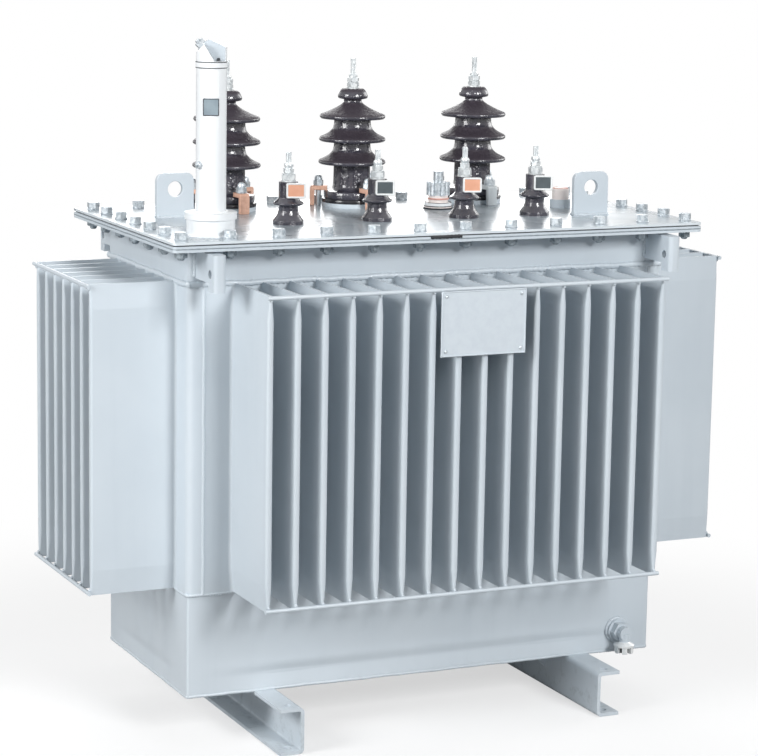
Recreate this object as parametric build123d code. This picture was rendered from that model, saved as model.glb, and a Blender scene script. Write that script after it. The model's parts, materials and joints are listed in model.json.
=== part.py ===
from build123d import *
import os

# Base channels, folded plate
channel_height = 80
channel_flange = 43
channel_plate = 6
channel_bend = 9
channel_reach = 118
channel_inset = 164.5
foot_hole_dia = 14
foot_hole_inset = 20

# Gussets between channel webs and tank floor
gusset_leg = 42
gusset_plate = 6
gusset_inset = 82

# Tank body
tank_length = 884
tank_depth = 400
tank_plate = 4
tank_corner = 12
floor_plate = 6
lower_top = 256
wall_top = 780
wall_proud = 2
corner_return = 29
collar_top = 841

# Cooling fins and the bars across their tips
fin_thickness = 12
fin_pinched = 4
fin_pinch_height = 40
fin_edge_round = 4.6
fin_bottom = 258.5
fin_top = 780
long_fin_count = 16
long_fin_margin = 76.5
long_fin_depth = 155
end_fin_count = 7
end_fin_margin = 51
end_fin_depth = 149
rod_dia = 7
rod_flat = 0.8
rod_overrun = 1

# Flange, gasket and cover
cover_end_reach = 48
cover_side_reach = 60.5
flange_seam_low = 5
flange_seam_high = 6
flange_seam_depth = 1.2
cover_corner = 8
flange_plate = 10
gasket_plate = 2.2
gasket_inset = 3
gasket_width = 40
cover_plate = 4.3

# Lifting plates on the cover
cover_lug_width = 68
cover_lug_height = 77
cover_lug_plate = 10
cover_lug_round = 14
cover_lug_hole_dia = 27
cover_lug_hole_height = 49
left_lug_inset = 123
left_lug_y = 74
right_lug_inset = 136.5
right_lug_y = -98

# Lifting blocks on the collar
tank_lug_width = 22
tank_lug_reach = 87
tank_lug_height = 61
tank_lug_nose = 27
tank_lug_step = 14
tank_lug_round = 8
tank_lug_gap = 3
tank_lug_hole_dia = 14
tank_lug_hole_inset = 19
tank_lug_hole_height = 29
tank_lug_inset = 24

# High voltage bushings
hv_inset = 110.5
hv_pitch = 242
hv_middle_x = 0
hv_round = 1.6
hv_ring_dia = 106
hv_ring_height = 14
hv_profile = (
    (50, hv_ring_height), (50, 28), (41, 28), (36, 32), (33, 38), (33, 74), (57, 79), (58, 82), (42, 90),
    (32, 100), (32, 116), (58, 120), (59, 123), (42, 131), (32, 141), (34, 157), (59, 161), (60, 164),
    (50, 168.5), (36, 175), (24, 182), (18, 187), (18, 190), (27, 193), (27, 198), (21.5, 211),
)
hv_dog_width = 18
hv_dog_plate = 8
hv_dog_reach = 31
hv_dog_gap = 3
hv_dog_round = 5
hv_dog_hole_dia = 11
hv_dog_hole_inset = 15
hv_dog_turns = (-85, 35, 155)
hv_stack = ((11, 4), (10.5, 20), (7.5, 26), (5, 52), (3.6, 55))

# Low voltage bushings
lv_y = -72
lv_places_x = (-214.5, -49, 118, 257)
lv_round = 1.5
lv_profile = (
    (26.5, 0), (26.5, 6), (19, 16), (17, 23), (17, 30), (25, 33), (26.5, 36), (20, 41), (16.5, 45),
    (16.5, 72),
)
lv_stack = ((12.5, 3), (11.5, 20), (8, 33), (5, 48), (3.6, 51))
tag_width = 32
tag_height = 25
tag_plate = 2
tag_round = 3
tag_low = 46
tag_turn = -18
tag_seat = 1.5
tag_shift = 11.5

# Filler and oil level tube
filler_end_inset = 97
filler_side_inset = 88.5
filler_base_dia = 80
filler_base_height = 27
filler_ring_dia = 86
filler_ring_plate = 11
filler_tube_dia = 50
filler_tube_height = 236
filler_band_dia = 52
filler_band_height = 8
filler_hood_turn = -24
filler_hood_left = 15
filler_hood_ridge = 38
filler_hood_ridge_x = -4
filler_hood_right = 25
hood_mouth_top = 33
hood_mouth_top_x = -13
hood_mouth_foot = 2
hood_mouth_foot_x = 6
hood_mouth_depth = 17
window_width = 25
window_height = 27
window_plate = 3
window_middle = 172.5
window_turn = -22

# Tap changer
tap_x = 134
tap_y = 67
tap_flange_dia = 50
tap_flange_plate = 4.5
tap_drum_dia = 36
tap_drum_height = 19.5
tap_knob_dia = 42
tap_knob_height = 24
tap_knob_lobes = 6
tap_knob_notch_dia = 14
tap_stud_dia = 18
tap_stud_height = 19

# Relief valve pocket
relief_inset = 132.5
relief_y = 20
relief_body_dia = 38
relief_body_height = 15
relief_cap_dia = 31
relief_cap_height = 20
relief_cap_round = 3

# Drain valve
drain_inset = 63.5
drain_z = 119
drain_boss_dia = 40
drain_boss_plate = 8
drain_hex = 30
drain_hex_length = 14
drain_plug_dia = 24
drain_plug_length = 14
drain_drop_dia = 18
drain_drop_height = 3
drain_cap_dia = 32
drain_cap_height = 20

# Nameplate and its strips
nameplate_x = 15
nameplate_width = 156
nameplate_height = 109
nameplate_plate = 2
nameplate_top = 774.5
nameplate_clearance = 0.3
strip_width = 14
strip_low = 674
strip_high = 762
strip_fins = (7, 9)

# Length by which cutting tools pass a face
overrun = 5

channel_length = tank_depth + 2 * channel_reach
channel_web_x = tank_length / 2 - channel_inset
gusset_y = tank_depth / 2 - gusset_inset
long_fin_span = tank_length - 2 * long_fin_margin
end_fin_span = tank_depth - 2 * end_fin_margin
long_wall_y = tank_depth / 2 + wall_proud
end_wall_x = tank_length / 2 + wall_proud
long_tip_y = long_wall_y + long_fin_depth
end_tip_x = end_wall_x + end_fin_depth
cover_length = tank_length + 2 * cover_end_reach
cover_depth = tank_depth + 2 * cover_side_reach
cover_bottom = collar_top + flange_plate + gasket_plate
cover_top = cover_bottom + cover_plate
tank_lug_x = end_wall_x - tank_lug_inset
hv_y = cover_depth / 2 - hv_inset
filler_x = -cover_length / 2 + filler_end_inset
filler_y = -cover_depth / 2 + filler_side_inset
relief_x = cover_length / 2 - relief_inset
drain_x = tank_length / 2 - drain_inset

os.makedirs("parts", exist_ok=True)


def span_box(x_low, x_high, y_low, y_high, z_low, z_high):
    middle = Pos((x_low + x_high) / 2, (y_low + y_high) / 2, (z_low + z_high) / 2)
    return middle * Box(x_high - x_low, y_high - y_low, z_high - z_low)


def upright(dia, low, high):
    return Pos(0, 0, (low + high) / 2) * Cylinder(dia / 2, high - low)


def ring(length, depth, wall, corner, low, high):
    outside = RectangleRounded(length, depth, corner)
    inside = Rectangle(length - 2 * wall, depth - 2 * wall)
    return Pos(0, 0, low) * extrude(outside - inside, high - low)


def turned(profile, rounding):
    edge = FilletPolyline(*[(r, h) for r, h in profile], radius=rounding)
    first, last = profile[0], profile[-1]
    rim = edge + Polyline((last[0], last[1]), (0, last[1]), (0, first[1]), (first[0], first[1]))
    return revolve(Plane.XZ * make_face(rim), Axis.Z)


def hexagon(across, low, high):
    return Pos(0, 0, low) * extrude(RegularPolygon(across / 2, 6, major_radius=False), high - low)


def stacked(stack, low):
    pile = None
    floor = low
    for radius, top in stack:
        step = upright(2 * radius, floor, low + top)
        pile = step if pile is None else pile + step
        floor = low + top
    return pile


def base_channel(side):
    outline = Rectangle(channel_flange, channel_height)
    heel = outline.vertices().group_by(Axis.X)[0]
    shell = fillet(heel, channel_bend)
    hollow = Rectangle(channel_flange, channel_height - 2 * channel_plate)
    inner = fillet(hollow.vertices().group_by(Axis.X)[0], channel_bend - channel_plate)
    section = shell - Pos(channel_plate, 0) * inner
    bar = Pos(channel_flange / 2, 0, 0) * extrude(section, channel_length / 2, both=True)
    bar = Pos(channel_web_x, 0, channel_height / 2) * Rot(90, 0, 0) * bar
    for end in (-1, 1):
        y = end * (channel_length / 2 - foot_hole_inset)
        bar -= Pos(channel_web_x + channel_flange / 2, y, 0) * upright(
            foot_hole_dia, -overrun, channel_height + overrun)
    return bar if side > 0 else mirror(bar, Plane.YZ)


def base_gussets():
    corner = Polyline((0, 0), (-gusset_leg, 0), (0, -gusset_leg), close=True)
    plate = extrude(Plane.XZ * make_face(corner), gusset_plate / 2, both=True)
    solids = []
    for end in (-1, 1):
        right = Pos(channel_web_x, end * gusset_y, channel_height) * plate
        solids += [right, mirror(right, Plane.YZ)]
    return Compound(children=solids)


def tank_floor():
    x, y = tank_length / 2 - tank_plate, tank_depth / 2 - tank_plate
    return span_box(-x, x, -y, y, channel_height, channel_height + floor_plate)


def lower_wall():
    return ring(tank_length, tank_depth, tank_plate, tank_corner, channel_height, lower_top)


def upper_ring(low, high):
    return ring(2 * end_wall_x, 2 * long_wall_y, tank_plate + wall_proud, tank_corner, low, high)


def long_wall(side):
    reach = end_wall_x - corner_return
    window = span_box(-reach, reach, 0, long_wall_y + overrun, lower_top, wall_top)
    wall = upper_ring(lower_top, wall_top) & window
    return wall if side > 0 else mirror(wall, Plane.XZ)


def end_wall(side):
    window = span_box(end_wall_x - corner_return, end_wall_x + overrun, -long_wall_y, long_wall_y,
                      lower_top, wall_top)
    wall = upper_ring(lower_top, wall_top) & window
    return wall if side > 0 else mirror(wall, Plane.YZ)


def fin(depth):
    plan = Pos(depth / 2, 0) * Rectangle(depth, fin_thickness)
    plan = fillet(plan.vertices().group_by(Axis.X)[-1], fin_edge_round)
    blade = Pos(0, 0, fin_bottom) * extrude(plan, fin_top - fin_bottom)
    half, slim = fin_thickness / 2, fin_pinched / 2
    low, high = fin_bottom + fin_pinch_height, fin_top - fin_pinch_height
    face = Polyline((slim, fin_bottom), (half, low), (half, high), (slim, fin_top), (-slim, fin_top),
                    (-half, high), (-half, low), (-slim, fin_bottom), close=True)
    return blade & extrude(Plane.YZ * make_face(face), depth)


def fins(count, span, depth, seat, turn):
    blade = Pos(seat, 0, 0) * fin(depth)
    pitch = (span - fin_thickness) / (count - 1)
    solids = [Rot(0, 0, turn) * Pos(0, (i - (count - 1) / 2) * pitch, 0) * blade for i in range(count)]
    return Compound(children=solids)


def rod(span, tip):
    section = Circle(rod_dia / 2) & Pos(rod_flat, 0) * Rectangle(rod_dia, rod_dia)
    bar = extrude(Plane.XZ * section, span / 2 + rod_overrun, both=True)
    return Pos(tip + rod_dia / 2 - rod_flat, 0, 0) * bar


def fin_rods():
    solids = []
    for span, tip, turns in ((long_fin_span, long_tip_y, (-90, 90)), (end_fin_span, end_tip_x, (0, 180))):
        for turn in turns:
            for z in (fin_bottom + rod_dia / 2, fin_top - rod_dia / 2):
                solids.append(Rot(0, 0, turn) * Pos(0, 0, z) * rod(span, tip))
    return Compound(children=solids)


def collar():
    return upper_ring(wall_top, collar_top)


def flange():
    outside = RectangleRounded(cover_length, cover_depth, cover_corner)
    inside = Rectangle(tank_length - 2 * tank_plate, tank_depth - 2 * tank_plate)
    plate = Pos(0, 0, collar_top) * extrude(outside - inside, flange_plate)
    seam = ring(cover_length, cover_depth, flange_seam_depth, cover_corner, flange_seam_low, flange_seam_high)
    return plate - Pos(0, 0, collar_top) * seam


def gasket():
    return ring(cover_length - 2 * gasket_inset, cover_depth - 2 * gasket_inset, gasket_width, cover_corner,
                collar_top + flange_plate, cover_bottom)


def cover():
    sheet = RectangleRounded(cover_length, cover_depth, cover_corner)
    return Pos(0, 0, cover_bottom) * extrude(sheet, cover_plate)


def cover_lugs():
    face = Pos(0, cover_lug_height / 2) * Rectangle(cover_lug_width, cover_lug_height)
    face = fillet(face.vertices().group_by(Axis.Y)[-1], cover_lug_round)
    face -= Pos(0, cover_lug_hole_height) * Circle(cover_lug_hole_dia / 2)
    plate = extrude(Plane.XZ * face, cover_lug_plate / 2, both=True)
    left = Pos(-cover_length / 2 + left_lug_inset, left_lug_y, cover_top) * plate
    right = Pos(cover_length / 2 - right_lug_inset, right_lug_y, cover_top) * plate
    return Compound(children=[left, right])


def tank_lugs():
    nose = tank_lug_reach - tank_lug_nose
    side = Polyline((0, tank_lug_step), (nose, tank_lug_step), (nose, 0), (tank_lug_reach, 0),
                    (tank_lug_reach, tank_lug_height), (0, tank_lug_height), close=True)
    side = make_face(side) - Pos(tank_lug_reach - tank_lug_hole_inset, tank_lug_hole_height) * Circle(
        tank_lug_hole_dia / 2)
    block = extrude(Plane.YZ * side, tank_lug_width / 2, both=True)
    block = fillet(block.edges().filter_by(Axis.Z).group_by(Axis.Y)[-1], tank_lug_round)
    z = collar_top - tank_lug_gap - tank_lug_height
    back = Pos(0, long_wall_y, z) * block
    solids = []
    for x in (-tank_lug_x, tank_lug_x):
        rear = Pos(x, 0, 0) * back
        solids += [rear, mirror(rear, Plane.XZ)]
    return Compound(children=solids)


def hv_places():
    return [(hv_middle_x + i * hv_pitch, hv_y) for i in (-1, 0, 1)]


def hv_porcelain(place):
    return Pos(place[0], place[1], cover_top) * turned(hv_profile, hv_round)


def hv_terminals():
    top = cover_top + hv_profile[-1][1]
    return Compound(children=[Pos(x, y, 0) * stacked(hv_stack, top) for x, y in hv_places()])


def hv_rings():
    seat = upright(hv_ring_dia, 0, hv_ring_height)
    return Compound(children=[Pos(x, y, cover_top) * seat for x, y in hv_places()])


def hv_dogs():
    shoulder = hv_profile[1][1]
    tip = hv_profile[2][0] + hv_dog_gap
    heel, half = tip + hv_dog_reach, hv_dog_width / 2
    dog = span_box(tip, heel, -half, half, 0, shoulder + hv_dog_plate)
    dog = fillet(dog.edges().group_by(Axis.Z)[-1].sort_by(Axis.X)[-1], hv_dog_round)
    dog -= span_box(tip - overrun, heel - hv_dog_plate, -hv_dog_width, hv_dog_width, -overrun, shoulder)
    drill = upright(hv_dog_hole_dia, 0, shoulder + hv_dog_plate + overrun)
    dog -= Pos(heel - hv_dog_hole_inset, 0, 0) * drill
    solids = []
    for x, y in hv_places():
        solids += [Pos(x, y, cover_top) * Rot(0, 0, turn) * dog for turn in hv_dog_turns]
    return Compound(children=solids)


def lv_porcelain(x):
    return Pos(x, lv_y, cover_top) * turned(lv_profile, lv_round)


def lv_terminals():
    top = cover_top + lv_profile[-1][1]
    return Compound(children=[Pos(x, lv_y, 0) * stacked(lv_stack, top) for x in lv_places_x])


def phase_tags(places):
    radius = lv_profile[-1][0]
    middle = Pos(tag_shift, tag_low + tag_height / 2)
    face = middle * RectangleRounded(tag_width, tag_height, tag_round)
    plate = extrude(Plane.XZ * face, radius + tag_plate)
    plate -= upright(2 * radius, 0, lv_profile[-1][1] + overrun)
    reach = tag_width + tag_shift
    plate -= span_box(-reach, reach, -radius + tag_seat, radius, 0, lv_profile[-1][1] + overrun)
    return Compound(children=[Pos(x, lv_y, cover_top) * Rot(0, 0, tag_turn) * plate for x in places])


def filler_base():
    ring_low = cover_top + filler_base_height
    body = upright(filler_base_dia, cover_top, ring_low)
    rim = upright(filler_ring_dia, ring_low, ring_low + filler_ring_plate)
    return Pos(filler_x, filler_y, 0) * (body + rim)


def filler_tube():
    low = cover_top + filler_base_height + filler_ring_plate
    middle, half = low + window_middle, window_height / 2
    tube = upright(filler_tube_dia, low, low + filler_tube_height)
    side, back = window_width / 2, -filler_tube_dia / 2 + window_plate
    seat = span_box(-side, side, -filler_tube_dia, back, middle - half, middle + half)
    tube -= Rot(0, 0, window_turn) * seat
    return Pos(filler_x, filler_y, 0) * tube


def filler_window():
    middle, half = cover_top + filler_base_height + filler_ring_plate + window_middle, window_height / 2
    side, back = window_width / 2, -filler_tube_dia / 2 + window_plate
    pane = span_box(-side, side, back - window_plate, back, middle - half, middle + half)
    return Pos(filler_x, filler_y, 0) * Rot(0, 0, window_turn) * pane


def filler_cap():
    low = cover_top + filler_base_height + filler_ring_plate + filler_tube_height
    high = low + filler_band_height
    radius = filler_tube_dia / 2
    roof = Polyline((-radius, 0), (radius, 0), (radius, filler_hood_right),
                    (filler_hood_ridge_x, filler_hood_ridge), (-radius, filler_hood_left), close=True)
    hood = upright(filler_tube_dia, 0, filler_hood_ridge)
    hood &= extrude(Plane.XZ * make_face(roof), filler_tube_dia, both=True)
    mouth = Polyline((hood_mouth_top_x, hood_mouth_top), (hood_mouth_foot_x, hood_mouth_foot),
                     (filler_tube_dia, hood_mouth_foot), (filler_tube_dia, filler_band_dia),
                     (hood_mouth_top_x, filler_band_dia), close=True)
    scoop = extrude(Plane.XZ * make_face(mouth), filler_tube_dia)
    hood -= Pos(0, -radius + hood_mouth_depth, 0) * scoop
    hood = Pos(0, 0, high) * Rot(0, 0, filler_hood_turn) * hood
    return Pos(filler_x, filler_y, 0) * (upright(filler_band_dia, low, high) + hood)


def tap_base():
    low = cover_top + tap_flange_plate
    drum = upright(tap_drum_dia, low, low + tap_drum_height)
    return Pos(tap_x, tap_y, 0) * (upright(tap_flange_dia, cover_top, low) + drum)


def tap_knob():
    low = cover_top + tap_flange_plate + tap_drum_height
    knob = upright(tap_knob_dia, low, low + tap_knob_height)
    notch = upright(tap_knob_notch_dia, low - overrun, low + tap_knob_height + overrun)
    for i in range(tap_knob_lobes):
        knob -= Rot(0, 0, 360 * i / tap_knob_lobes) * Pos(tap_knob_dia / 2, 0, 0) * notch
    stud = upright(tap_stud_dia, low + tap_knob_height, low + tap_knob_height + tap_stud_height)
    return Pos(tap_x, tap_y, 0) * (knob + stud)


def relief_body():
    return Pos(relief_x, relief_y, 0) * upright(relief_body_dia, cover_top, cover_top + relief_body_height)


def relief_cap():
    low = cover_top + relief_body_height
    cap = upright(relief_cap_dia, low, low + relief_cap_height)
    cap = fillet(cap.edges().group_by(Axis.Z)[-1], relief_cap_round)
    return Pos(relief_x, relief_y, 0) * cap


def drain_valve():
    boss = upright(drain_boss_dia, 0, drain_boss_plate)
    neck = hexagon(drain_hex, drain_boss_plate, drain_boss_plate + drain_hex_length)
    low = drain_boss_plate + drain_hex_length
    plug = upright(drain_plug_dia, low, low + drain_plug_length)
    stem = boss + neck + plug
    body = Pos(drain_x, -tank_depth / 2, drain_z) * Rot(90, 0, 0) * stem
    y = -tank_depth / 2 - low - drain_plug_length / 2
    drop_low = drain_z - drain_plug_dia / 2 - drain_drop_height
    return body + Pos(drain_x, y, 0) * upright(drain_drop_dia, drop_low, drain_z)


def drain_cap():
    y = -tank_depth / 2 - drain_boss_plate - drain_hex_length - drain_plug_length / 2
    high = drain_z - drain_plug_dia / 2 - drain_drop_height
    return Pos(drain_x, y, 0) * hexagon(drain_cap_dia, high - drain_cap_height, high)


def nameplate():
    y = long_tip_y + rod_dia - rod_flat + nameplate_clearance
    left = nameplate_x - nameplate_width / 2
    return span_box(left, left + nameplate_width, -y - nameplate_plate, -y, nameplate_top - nameplate_height,
                    nameplate_top)


def nameplate_strips():
    y = long_tip_y + rod_dia - rod_flat + nameplate_clearance
    pitch = (long_fin_span - fin_thickness) / (long_fin_count - 1)
    solids = []
    for i in strip_fins:
        left = (i - (long_fin_count - 1) / 2) * pitch - strip_width / 2
        solids.append(span_box(left, left + strip_width, -y, -long_tip_y, strip_low, strip_high))
    return Compound(children=solids)


nodes = {
    "left_base_channel": base_channel(-1),
    "right_base_channel": base_channel(1),
    "base_gussets": base_gussets(),
    "tank_floor": tank_floor(),
    "lower_tank_wall": lower_wall(),
    "front_tank_wall": long_wall(-1),
    "back_tank_wall": long_wall(1),
    "left_tank_wall": end_wall(-1),
    "right_tank_wall": end_wall(1),
    "front_cooling_fins": fins(long_fin_count, long_fin_span, long_fin_depth, long_wall_y, -90),
    "back_cooling_fins": fins(long_fin_count, long_fin_span, long_fin_depth, long_wall_y, 90),
    "left_cooling_fins": fins(end_fin_count, end_fin_span, end_fin_depth, end_wall_x, 180),
    "right_cooling_fins": fins(end_fin_count, end_fin_span, end_fin_depth, end_wall_x, 0),
    "fin_tie_rods": fin_rods(),
    "tank_collar": collar(),
    "tank_flange": flange(),
    "cover_gasket": gasket(),
    "tank_cover": cover(),
    "cover_lifting_lugs": cover_lugs(),
    "tank_lifting_lugs": tank_lugs(),
    "hv_terminals": hv_terminals(),
    "hv_base_rings": hv_rings(),
    "hv_clamp_dogs": hv_dogs(),
    "lv_terminals": lv_terminals(),
    "orange_phase_tags": phase_tags(lv_places_x[0::2]),
    "grey_phase_tags": phase_tags(lv_places_x[1::2]),
    "filler_base": filler_base(),
    "filler_tube": filler_tube(),
    "filler_window": filler_window(),
    "filler_cap": filler_cap(),
    "tap_changer_base": tap_base(),
    "tap_changer_knob": tap_knob(),
    "relief_valve_body": relief_body(),
    "relief_valve_cap": relief_cap(),
    "drain_valve": drain_valve(),
    "drain_cap": drain_cap(),
    "nameplate": nameplate(),
    "nameplate_strips": nameplate_strips(),
}
for i, place in enumerate(hv_places()):
    nodes[f"hv_porcelain_{i + 1}"] = hv_porcelain(place)
for i, x in enumerate(lv_places_x):
    nodes[f"lv_porcelain_{i + 1}"] = lv_porcelain(x)
for name, shape in nodes.items():
    export_step(shape, f"parts/{name}.step")
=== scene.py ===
import json
import random
from math import copysign, cos, exp, pi, radians, sin

import bmesh
import bpy
from mathutils import Matrix, Vector


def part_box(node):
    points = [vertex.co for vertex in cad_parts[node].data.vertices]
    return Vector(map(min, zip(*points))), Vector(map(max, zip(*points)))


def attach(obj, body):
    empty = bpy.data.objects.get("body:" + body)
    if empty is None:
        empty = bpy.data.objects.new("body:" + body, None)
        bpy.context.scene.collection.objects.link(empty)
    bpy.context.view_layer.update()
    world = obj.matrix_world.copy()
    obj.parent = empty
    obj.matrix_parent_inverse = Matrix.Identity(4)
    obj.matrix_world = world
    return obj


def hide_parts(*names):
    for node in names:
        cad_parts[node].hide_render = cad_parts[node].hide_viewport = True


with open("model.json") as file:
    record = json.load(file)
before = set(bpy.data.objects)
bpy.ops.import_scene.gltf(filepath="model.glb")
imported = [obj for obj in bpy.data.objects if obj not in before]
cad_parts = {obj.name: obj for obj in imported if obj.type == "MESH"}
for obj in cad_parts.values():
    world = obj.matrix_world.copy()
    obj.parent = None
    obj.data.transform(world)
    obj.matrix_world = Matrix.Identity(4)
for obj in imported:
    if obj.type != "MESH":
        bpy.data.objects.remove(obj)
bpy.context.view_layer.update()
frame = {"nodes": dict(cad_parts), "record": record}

nodes = frame["nodes"]
scene = bpy.context.scene
print("frame loaded:", len(nodes), "nodes")


def middleOf(node):
    low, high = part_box(node)
    return (low + high) / 2


def linear(code):
    # hex colour as it looks on screen, to the scene's linear values
    parts = [int(code[i:i + 2], 16) / 255 for i in (1, 3, 5)]
    return tuple(p / 12.92 if p <= 0.04045 else ((p + 0.055) / 1.055) ** 2.4 for p in parts) + (1.0,)


class Wire:
    # one socket of a material, so that masks read as plain sums
    def __init__(self, tree, socket=None):
        self.tree, self.socket = tree, socket

    def make(self, kind, settings=None, inputs=None, output=0):
        node = self.tree.nodes.new(kind)
        for key, value in (settings or {}).items():
            setattr(node, key, value)
        for key, value in (inputs or {}).items():
            if isinstance(value, Wire):
                self.tree.links.new(value.socket, node.inputs[key])
            else:
                node.inputs[key].default_value = value
        return Wire(self.tree, None if output is None else node.outputs[output])

    def sums(self, operation, first, second=0.0):
        return self.make("ShaderNodeMath", {"operation": operation}, {0: first, 1: second})

    def __add__(self, other):
        return self.sums("ADD", self, other)

    def __radd__(self, other):
        return self.sums("ADD", other, self)

    def __sub__(self, other):
        return self.sums("SUBTRACT", self, other)

    def __rsub__(self, other):
        return self.sums("SUBTRACT", other, self)

    def __mul__(self, other):
        return self.sums("MULTIPLY", self, other)

    def __rmul__(self, other):
        return self.sums("MULTIPLY", other, self)

    def between(self, low, high):
        return self.make("ShaderNodeMapRange", {"interpolation_type": "SMOOTHSTEP"},
                         {"Value": self, "From Min": low, "From Max": high})

    def stretched(self, scale):
        return self.make("ShaderNodeVectorMath", {"operation": "MULTIPLY"}, {0: self, 1: scale})

    def noise(self, scale, detail=3.0, rough=0.5):
        return self.make("ShaderNodeTexNoise", None,
                         {"Vector": self, "Scale": scale, "Detail": detail, "Roughness": rough})

    def blend(self, first, second):
        return self.make("ShaderNodeMix", {"data_type": "RGBA"}, {0: self, 6: first, 7: second}, 2)

    def bump(self, strength, distance):
        return self.make("ShaderNodeBump", None, {"Height": self, "Strength": strength, "Distance": distance})


def startFinish(name, plain):
    finish = bpy.data.materials.new(name)
    finish.use_nodes = True
    shader = finish.node_tree.nodes["Principled BSDF"]
    for key, value in plain.items():
        shader.inputs[key].default_value = value
    return finish, shader, Wire(finish.node_tree)


def feed(root, shader, links):
    for key, wire in links.items():
        root.tree.links.new(wire.socket, shader.inputs[key])


def objectPlace(root):
    return root.make("ShaderNodeTexCoord", None, None, "Object")


def axisPart(root, source, axis):
    return root.make("ShaderNodeSeparateXYZ", None, {0: source}, axis)


def facingUp(root):
    return axisPart(root, root.make("ShaderNodeNewGeometry", None, None, "Normal"), "Z")


# painted sheet with faint runs, settled dust on top faces, scuffed feet and a few chips:
# colour, shade, dust, roughness, orange peel, coat, share of dust
enamelKinds = {
    "tankEnamel": ("#c6cfd6", "#bcc6ce", "#d0d5d7", 0.34, 0.10, 0.08, 0.4),
    # the cover's row is a darker copy of the tank's paint: painted shade against the bright reflections on
    # its top
    "coverEnamel": ("#b2bdc5", "#a7b2ba", "#bcc4c9", 0.17, 0.04, 0.10, 0.25),
    "whiteEnamel": ("#eef1f3", "#e6eaed", "#e6e6e2", 0.24, 0.06, 0.2, 0.3),
}
# the cover's cut edge is painted paler than its top, a painted highlight, and the strip along its back edge
# is painted darker, painted shade
coverEdge = {"finish": "coverEnamel", "upright": "#d3dbe0", "backEdgeShade": "#7f8a92", "from": 0.018, "full": 0.014}
enamelWear = {
    "scuff": "#98a1a5", "scuffShare": 0.45, "scuffFull": 0.02, "scuffEnd": 0.11,
    "chip": "#858f96", "chipShare": 0.5
}


def enamel(name):
    main, shade, dust, rough, peel, coat, settle = enamelKinds[name]
    finish, shader, root = startFinish(name, {"Coat Roughness": 0.08, "IOR": 1.5})
    place = objectPlace(root)
    facing = facingUp(root)
    clouds = place.noise(3.1, 4.0, 0.55).between(0.36, 0.68)
    runs = place.stretched((26.0, 26.0, 1.4)).noise(1.0, 3.0, 0.6).between(0.48, 0.80)
    grain = place.noise(640.0, 2.0, 0.5)
    specks = root.make("ShaderNodeTexVoronoi", {"feature": "F1"},
                       {"Vector": place, "Scale": 62.0}, "Distance")
    chips = (1.0 - specks.between(0.02, 0.06)) * place.noise(5.0, 2.0).between(0.60, 0.72)
    settled = facing.between(0.55, 0.98) * place.noise(7.0, 5.0, 0.6).between(0.30, 0.80)
    nearFloor = 1.0 - axisPart(root, place, "Z").between(enamelWear["scuffFull"], enamelWear["scuffEnd"])
    scuffs = nearFloor * place.noise(48.0, 4.0, 0.7).between(0.50, 0.72)
    body = (clouds * 0.7 + runs * 0.3).blend(linear(main), linear(shade))
    if name == coverEdge["finish"]:
        # painted highlight: the cover's cut edges are paler than its top
        body = facing.between(0.2, 0.8).blend(linear(coverEdge["upright"]), body)
        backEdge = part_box("tank_cover")[1].y
        # painted shade along the cover's back edge
        backEdgeShade = axisPart(root, place, "Y").between(backEdge - coverEdge["from"], backEdge - coverEdge["full"])
        body = (backEdgeShade * 0.9).blend(body, linear(coverEdge["backEdgeShade"]))
    dusty = (settled * settle).blend(body, linear(dust))
    worn = (scuffs * enamelWear["scuffShare"]).blend(dusty, linear(enamelWear["scuff"]))
    speckled = (chips * enamelWear["chipShare"]).blend(worn, linear(enamelWear["chip"]))
    relief = grain * 0.6 + place.noise(95.0, 2.0) * 0.4 - chips * 0.5
    feed(root, shader, {"Base Color": speckled,
                        "Roughness": rough + clouds * 0.06 + settled * 0.12 + scuffs * 0.2 + grain * 0.05,
                        "Coat Weight": coat - settled * (coat * 0.5),
                        "Normal": relief.bump(peel, 0.0006)})
    return finish


# porcelain: near-black brown glaze, iron specks, ripples that break the highlights, dulled upper slopes
# painted darker as painted shade
glazeKind = dict(colour="#44434d", pooled="#2e2d36", speck="#5c4b51", slope="#352e35",
                 rough=0.06, ripple=1.0, coat=0.9, shedHeight=0.056, shedFade=0.004)


def glaze(name):
    finish, shader, root = startFinish(name, {"Coat Roughness": 0.04, "IOR": 1.52, "Specular IOR Level": 0.3})
    place = objectPlace(root)
    facing = facingUp(root)
    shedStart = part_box("tank_cover")[1].z + glazeKind["shedHeight"]
    onSheds = axisPart(root, place, "Z").between(shedStart, shedStart + glazeKind["shedFade"])
    dulledAndShaded = facing.between(0.40, 0.62) * onSheds
    pool = place.noise(34.0, 4.0, 0.6).between(0.3, 0.75)
    iron = place.noise(420.0, 3.0, 0.6).between(0.52, 0.70)
    colour = pool.blend(linear(glazeKind["colour"]), linear(glazeKind["pooled"]))
    speckled = (iron * 0.4).blend(colour, linear(glazeKind["speck"]))
    # the upper slopes of the sheds are painted darker: painted shade
    slopeShaded = (dulledAndShaded * 0.8).blend(speckled, linear(glazeKind["slope"]))
    ripple = place.noise(130.0, 2.0, 0.5)
    feed(root, shader, {"Base Color": slopeShaded,
                        "Roughness": glazeKind["rough"] + pool * 0.05 + iron * 0.05 + dulledAndShaded * 0.5,
                        "Coat Weight": (glazeKind["coat"] - iron * 0.2) * (1.0 - dulledAndShaded * 0.95),
                        "Normal": ripple.bump(glazeKind["ripple"], 0.0026)})
    return finish


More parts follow.
